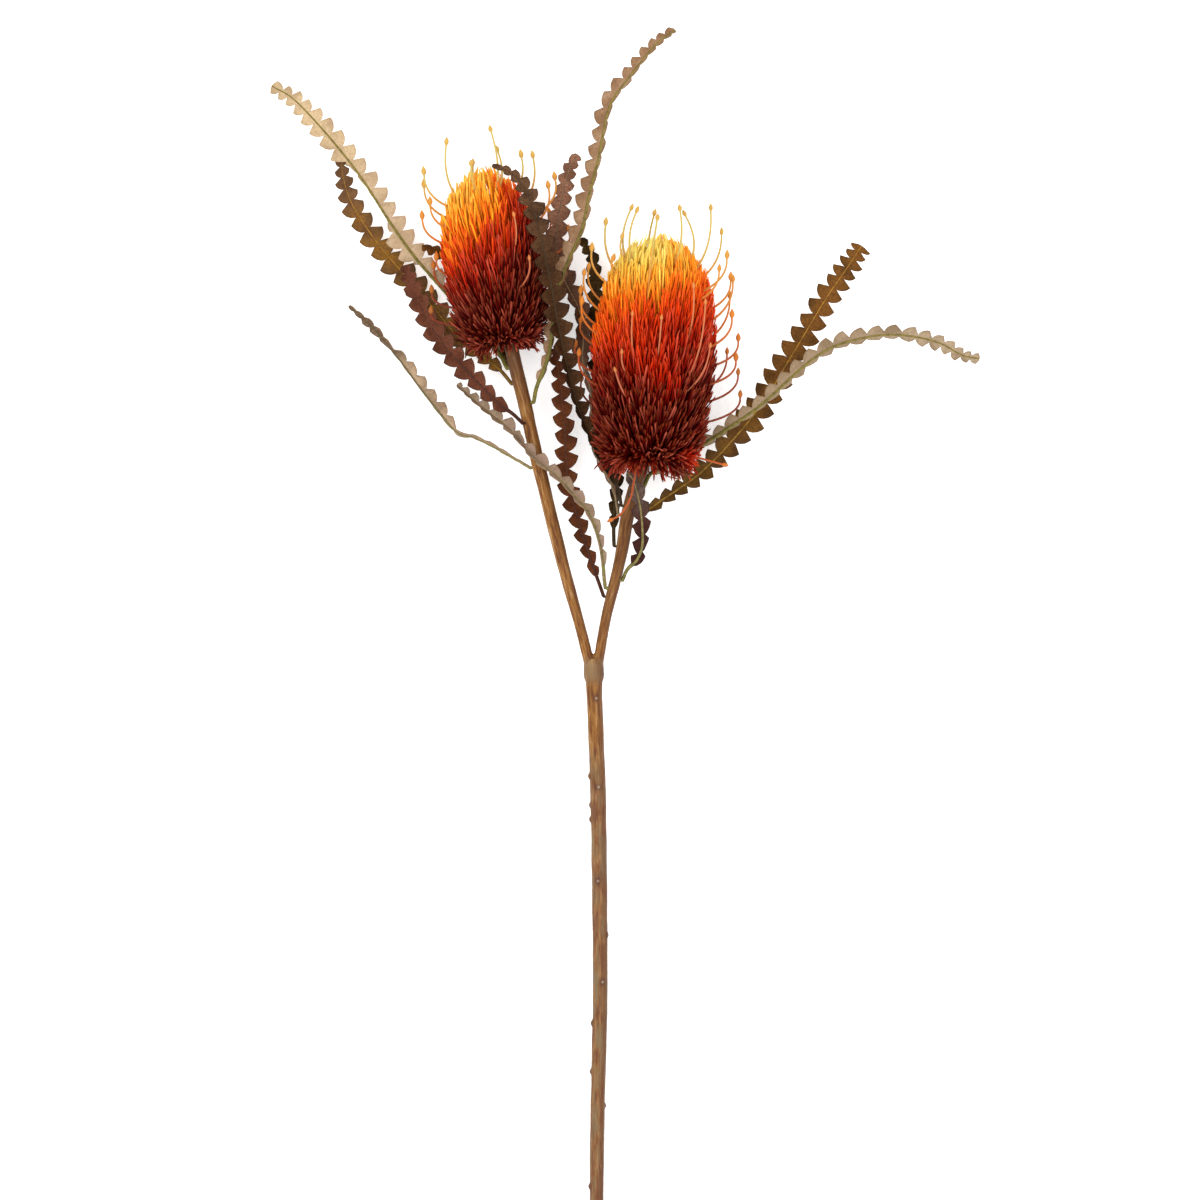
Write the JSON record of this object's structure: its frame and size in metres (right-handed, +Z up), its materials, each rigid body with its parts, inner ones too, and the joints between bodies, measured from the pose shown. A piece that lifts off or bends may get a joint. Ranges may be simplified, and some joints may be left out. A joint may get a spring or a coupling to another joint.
{
  "type": "banksia flower",
  "caption": "Cut banksia stem lying down, forked, each fork ending in a cylindrical flower head with long curved styles, among narrow saw-toothed leaves.",
  "frame": {"origin": "on the surface it lies on, under the middle of the whole flower's box", "axes": "+Y along the stem from the cut end to the heads, +X to the larger head's side, +Z up from the surface it lies on"},
  "size_m": [0.3892, 0.6549, 0.0666],
  "materials": {
    "bark": "smooth tan-brown bark",
    "large_head_florets": "glossy, wine red at the base through orange to yellow at the tip",
    "small_head_florets": "glossy, wine red at the base through orange to golden yellow at the tip",
    "leaf_pale_underside": "matt, pinkish beige underside with an olive rib",
    "leaf_golden_brown": "matt, golden to olive brown with a golden rib",
    "leaf_purple_brown": "matt, purple-brown with a darker rib",
    "leaf_dark_brown": "matt, very dark brown with a green rib"
  },
  "bodies": {
    "root": {"stem": "bark", "head_large": "large_head_florets", "head_small": "small_head_florets", "leaf_far_left": "leaf_pale_underside", "leaf_left_twisted": "leaf_pale_underside", "leaf_left_crossing": "leaf_pale_underside", "leaf_top": "leaf_pale_underside", "leaf_right_arched": "leaf_pale_underside", "leaf_left_brown": "leaf_golden_brown", "leaf_middle_tall": "leaf_golden_brown", "leaf_behind_large": "leaf_golden_brown", "leaf_right_golden": "leaf_golden_brown", "leaf_behind_small": "leaf_golden_brown", "leaf_left_purple": "leaf_purple_brown", "leaf_middle_dark": "leaf_purple_brown", "leaf_curled": "leaf_purple_brown", "leaf_centre_wide": "leaf_dark_brown"}
  },
  "joints": []
}
